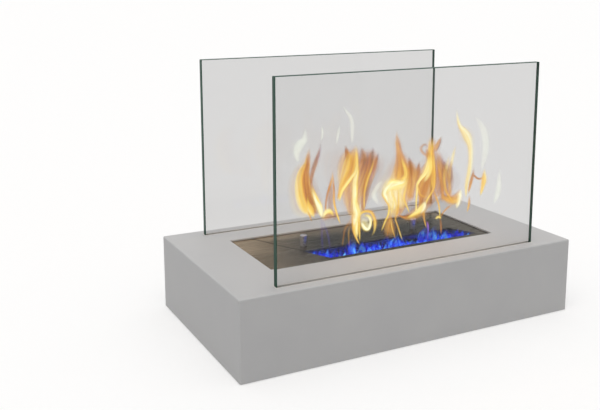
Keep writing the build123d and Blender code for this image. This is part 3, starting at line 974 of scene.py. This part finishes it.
# %% Fourth flame
FOURTH_FLAME = [
    (-37, [(70, 184, 1.5), (78, 197, 3), (80, 209, 2.5), (80, 226, 1)], (0.9, 1.0, 0.9), 0.7),
    (-40, [(55, 141, 1.5), (65, 148, 3), (70, 158, 1)], (0.9, 1.1, 1.0), 0.75),
    (-12, [(119, 179, 9), (123, 194, 5.5), (126, 209, 1)], (0.4, 0.35, 0.3), 0.4),
    (-12, [(132, 170, 5.5), (136, 187, 3.5), (138, 205, 1)], (0.4, 0.35, 0.3), 0.4),
    (-22, [(97, 222, 4.5), (104, 235, 3.5), (109, 246, 1)], (0.55, 0.45, 0.3), 0.7),
    (-22, [(92, 205, 3.5), (86, 220, 3), (82, 231, 1)], (0.5, 0.5, 0.5), 0.7),
    (-10, [(96, 136, 5), (99, 155, 17), (102, 173, 26), (105, 190, 24), (107, 208, 14),
     (104, 230, 5)], (0.5, 0.42, 0.36), 0.52),
    (-24, [(46, 132, 2), (63, 135, 8), (78, 143, 10), (90, 160, 5)], (0.4, 0.45, 0.5), 0.4),
    (-24, [(95, 168, 3), (95, 190, 5), (93, 204, 6), (92, 217, 6), (93, 229, 5.5), (94, 238, 6),
     (91, 248, 2)], (0.55, 0.7, 0.5), 0.92),
    (-36, [(71, 149, 0.6), (78, 162, 1.4), (84, 169, 1.6), (88, 177, 1.8), (89, 191, 2),
     (89, 205, 2), (88, 230, 1)], (0.7, 0.85, 0.7), 0.8),
    (-34, [(59, 138, 0.6), (60, 158, 1.2), (62, 172, 1.5), (63, 181, 1.7), (68, 188, 2.2),
     (76, 195, 3.5), (81, 203, 4.5), (83, 214, 4), (81, 228, 1.5)], (0.75, 0.95, 0.8), 0.9),
    (-23, [(74, 141, 1), (78, 159, 5), (81, 170, 9.5), (86, 182, 8.5), (91, 195, 5),
     (92, 210, 1.5)], (0.6, 0.45, 0.6), 0.8),
    (-37, [(60, 184, 1), (65, 171, 1.6), (70, 165, 1.6), (77, 164, 1.6), (84, 170, 1)],
     (0.7, 0.75, 0.7), 0.65),
    (-28, [(84, 217, 1.5), (75, 224, 2.5), (71, 231, 2.5), (78, 236, 2), (86, 228, 1)],
     (0.3, 0.35, 0.3), 0.3),
    (-16, [(122, 144, 7), (121, 163, 13), (121, 178, 14), (118, 193, 11.5), (113, 206, 5),
     (108, 222, 1)], (0.5, 0.35, 0.25), 0.45),
    (-28, [(109, 150, 1.5), (107, 173, 2.5), (104, 195, 2.5), (99, 219, 1)], (0.5, 0.6, 0.5), 0.7),
    (-28, [(129, 144, 1.5), (120, 157, 2.5), (114, 172, 2.5), (113, 200, 1)],
     (0.6, 0.65, 0.5), 0.7),
    (-27, [(126, 152, 2), (123, 178, 3), (123, 197, 3), (124, 215, 1)], (0.55, 0.5, 0.55), 0.4),
    (-18, [(130, 192, 2), (132, 212, 2.5), (137, 230, 1)], (0.8, 0.8, 0.8), 0.3),
    (-20, [(115, 164, 2), (117, 181, 3), (120, 199, 3), (125, 218, 1)], (0.75, 0.85, 0.75), 0.4),
    (-37, [(28, 144, 1), (40, 138, 2), (50, 139, 2.5), (60, 143, 1)], (0.35, 0.45, 0.4), 0.6),
    (-38, [(42, 137, 1), (52, 140, 2.5), (61, 144, 4), (68, 150, 4), (72, 158, 1.5)],
     (0.7, 0.85, 1.0), 0.9),
    (-35, [(79, 116, 0.6), (74, 129, 1.2), (71, 141, 2.2), (71, 153, 1.5)],
     (0.6, 0.75, 0.7), 0.65),
    (-40, [(62, 142, 1), (67, 148, 3), (70, 154, 3), (72, 160, 1)], (0.8, 1.1, 1.0), 0.7),
    (-33, [(102, 126, 0.6), (101, 146, 1.4), (97, 158, 1.6), (89, 176, 1.2)],
     (0.7, 0.8, 0.7), 0.75),
    (-28, [(108, 162, 1), (117, 154, 4), (126, 150, 7), (135, 151, 8), (140, 158, 4.5),
     (142, 168, 1)], (0.45, 0.5, 0.75), 0.65),
    (-31, [(134, 136, 1), (137, 145, 3), (138, 154, 3.5), (141, 167, 1)], (0.9, 1.05, 0.95), 0.9),
    (-30, [(107, 125, 0.8), (111, 134, 1.4), (119, 141, 1.8), (127, 145, 1.2)],
     (0.5, 0.5, 0.5), 0.45),
    (-30, [(80, 125, 1), (83, 124, 1.5), (86, 113, 1.5), (86, 101, 1.2), (85, 90, 0.8)],
     (0.14, 0.15, 0.14), 0.75),
    (-30, [(108, 102, 0.8), (106, 117, 1.8), (103, 131, 1.2)], (0.55, 0.6, 0.5), 0.45),
    (-33, [(93, 128, 1), (99, 131, 2), (104, 127, 1)], (0.8, 0.95, 0.8), 0.8),
]
make_flame("flame_fourth", FOURTH_FLAME, yellow_flame)

# %% [markdown]
# ## The right flame
# A slim pale column that has torn loose from the burner, with a small side flame that
# hangs from a thin thread.

# %% Right flame
RIGHT_FLAME = [
    (-38, [(146, 152, 1), (145, 174, 3), (147, 193, 3.5), (148, 215, 3.5), (147, 231, 4.5),
     (143, 243, 7), (137, 252, 5.5), (131, 259, 3), (127, 270, 2), (124, 285, 1)],
     (0.62, 1.0, 0.9), 0.55),
    (-36, [(149, 158, 1), (152, 177, 2.5), (155, 189, 2), (156, 199, 1)], (0.5, 0.5, 0.5), 0.8),
    (-44, [(148, 192, 1), (153, 186, 1.5), (160, 182, 1.5), (170, 184, 1)], (0.4, 0.4, 0.4), 0.7),
    (-52, [(156, 158, 1), (161, 172, 3), (164, 182, 4), (166, 199, 1)], (0.5, 0.9, 0.8), 0.9),
    (-36, [(146, 131, 1), (150, 145, 2), (151, 159, 1)], (0.6, 0.65, 0.6), 0.7),
]
make_flame("flame_right", RIGHT_FLAME, yellow_flame)

# %% [markdown]
# ## Painted reflections of the flames
# A few pale glowing strands are painted reflections: the faint mirrored flames that the panes
# throw back, hardly brighter than the air behind them. They are strands as well, in the pale
# finish.

# %% Painted reflections of the flames
FLAME_REFLECTION_STRANDS = [
    (10, [(-18, 238, 1.5), (-16, 258, 3), (-18, 274, 3), (-26, 285, 2), (-35, 296, 1)],
     (0.9, 0.95, 0.9), 0.3),
    (0, [(-70, 248, 1), (-68, 260, 1.5), (-70, 272, 1)], (0.9, 0.95, 0.9), 0.3),
    (0, [(-47, 241, 1), (-45, 256, 2), (-43, 271, 1)], (0.9, 0.95, 0.9), 0.25),
    (-88, [(131, 202, 1), (136, 225, 4.5), (135, 244, 5.5), (128, 264, 5), (112, 285, 1)],
     (0.9, 0.95, 0.9), 0.3),
    (-98, [(144, 158, 1), (153, 174, 4), (155, 190, 3), (155, 210, 1)], (0.95, 0.98, 0.95), 0.4),
    (0, [(-106, 222, 1.5), (-109, 236, 4.5), (-105, 247, 6.5), (-97, 254, 4.5), (-94, 272, 1)],
     (0.95, 0.98, 0.95), 0.35),
    (-15, [(18, 190, 1), (9, 180, 3), (4, 170, 4), (9, 160, 3), (17, 150, 1)],
     (0.95, 0.98, 0.95), 0.45),
]
make_flame("flame_painted_reflections", FLAME_REFLECTION_STRANDS, painted_flame_reflection)

# %% [markdown]
# ## Studio
# A pale floor, a white surround and one soft lamp. The surround is plain white to the
# camera and in reflections, and a little dimmer as a light. What is seen through the
# panes is a little dimmer too, as glass takes some of the light.

# %% What a ray sees of the surround
THROUGH_GLASS = 0.78


def surround_share(tree):
    """How much of the plain white surround a ray sees: 1, less through glass, 0 as a light."""
    path = add(tree, "ShaderNodeLightPath").outputs
    seen = math(tree, "MAXIMUM", path["Is Camera Ray"], path["Is Glossy Ray"])
    seen = math(tree, "MAXIMUM", seen, path["Is Transmission Ray"])
    lost = math(tree, "MULTIPLY", path["Is Transmission Ray"], 1 - THROUGH_GLASS)
    return math(tree, "MULTIPLY", seen, math(tree, "SUBTRACT", 1.0, lost))


print("through glass the surround is", THROUGH_GLASS, "of white")

# %% [markdown]
# ## Floor
# The floor is a matt pale grey that takes the object's shadow. It adds just enough white
# of its own, for the camera and for reflections, to melt into the surround.

# %% Floor
FLOOR_SIZE = 60.0
FLOOR_TONE = 0.62

half = FLOOR_SIZE / 2
corners = [(-half, -half, 0), (half, -half, 0), (half, half, 0), (-half, half, 0)]
mesh = bpy.data.meshes.new("floor")
mesh.from_pydata(corners, [], [(0, 1, 2, 3)])
floor = new_object("floor", mesh)
pale_floor, tree, output = new_material("pale_floor")
matt = add(tree, "ShaderNodeBsdfDiffuse", {"Color": (*[FLOOR_TONE] * 3, 1)})
wanted = math(tree, "SUBTRACT", surround_share(tree), FLOOR_TONE)
wanted = math(tree, "MAXIMUM", wanted)
glow = add(tree, "ShaderNodeEmission", {"Color": (1, 1, 1, 1), "Strength": wanted})
total = add(tree, "ShaderNodeAddShader", {0: matt, 1: glow})
show(tree, total, output)
mesh.materials.append(pale_floor)
print("floor", FLOOR_SIZE, "m")

# %% [markdown]
# ## Surround
# As a light the surround is brighter above than at the horizon, so that the top of the
# box comes out lighter than its walls.

# %% Surround
SKY_LOW = 0.38
SKY_HIGH = 0.90

world = bpy.data.worlds.new("studio")
bpy.context.scene.world = world
world.use_nodes = True
tree = world.node_tree
tree.nodes.clear()
output = tree.nodes.new("ShaderNodeOutputWorld")
light = spread(tree, axes_of(tree, "Generated")["Z"], 0.0, 1.0, SKY_LOW, SKY_HIGH)
strength = math(tree, "MAXIMUM", surround_share(tree), light)
sky = add(tree, "ShaderNodeBackground", {"Color": (1, 1, 1, 1), "Strength": strength})
show(tree, sky, output)
print("surround from", SKY_LOW, "at the horizon to", SKY_HIGH, "above")

# %% [markdown]
# ## Lamps
# One wide, slightly warm lamp from the front left gives the shadow. A faint warm lamp
# over the opening stands for the light that the flames throw on the top, because their
# own glow is too small a source to be sampled without grain.

# %% Lamps
LAMP_STRENGTH = 0.9
LAMP_COLOUR = (1.0, 0.96, 0.92)
LAMP_WIDTH = 50
LAMP_AIM = (0.35, 0.45, -1.0)
FLAME_LIGHT = 0.055
FLAME_LIGHT_COLOUR = (1.0, 0.82, 0.78)
FLAME_LIGHT_RISE = 95 * MM

sun = bpy.data.lights.new("soft_lamp", "SUN")
sun.energy = LAMP_STRENGTH
sun.color = LAMP_COLOUR
sun.angle = radians(LAMP_WIDTH)
soft_lamp = new_object("soft_lamp", sun)
soft_lamp.rotation_euler = Vector(LAMP_AIM).to_track_quat("-Z", "Y").to_euler()

panel = bpy.data.lights.new("flame_light", "AREA")
panel.shape = "RECTANGLE"
panel.size = SLOT_LENGTH
panel.size_y = SLOT_WIDTH
panel.energy = FLAME_LIGHT
panel.color = FLAME_LIGHT_COLOUR
flame_light = new_object("flame_light", panel)
flame_light.location = Vector(SLOT_CENTRE) + Vector((0, 0, FLAME_LIGHT_RISE))
flame_light.visible_camera = False
flame_light.visible_glossy = False
flame_light.visible_transmission = False
print("soft lamp", LAMP_WIDTH, "degrees wide, flame light", FLAME_LIGHT, "W")

# %% [markdown]
# ## Camera
# The photograph looks down a little from the front left, with a long lens and a shifted
# back that keeps the panes nearly upright. Its place was fitted to corners of the box,
# the panes and the burner. A ray may cross many veils of flame, so it gets enough steps.

# %% Camera
CAMERA_AZIMUTH = -27.65
CAMERA_PITCH = 10.52
CAMERA_PLACE = (-594.5, -986.6, 457.8)
FOCAL_PIXELS = 846.7
PICTURE_WIDTH = 600
PICTURE_HEIGHT = 410
CENTRE_ACROSS = 316.2
CENTRE_DOWN = 140.0
SENSOR_WIDTH = 36
VEILS_TO_CROSS = 64

lens = bpy.data.cameras.new("camera")
lens.sensor_width = SENSOR_WIDTH
lens.lens = FOCAL_PIXELS * SENSOR_WIDTH / PICTURE_WIDTH
lens.shift_x = (PICTURE_WIDTH / 2 - CENTRE_ACROSS) / PICTURE_WIDTH
lens.shift_y = (CENTRE_DOWN - PICTURE_HEIGHT / 2) / PICTURE_WIDTH
camera = new_object("camera", lens)
camera.location = Vector(CAMERA_PLACE) * MM
camera.rotation_euler = (radians(90 - CAMERA_PITCH), 0, radians(CAMERA_AZIMUTH))
bpy.context.scene.camera = camera
bpy.context.scene.view_settings.view_transform = "Standard"
bpy.context.scene.cycles.transparent_max_bounces = VEILS_TO_CROSS
print("lens", round(lens.lens, 1), "mm")
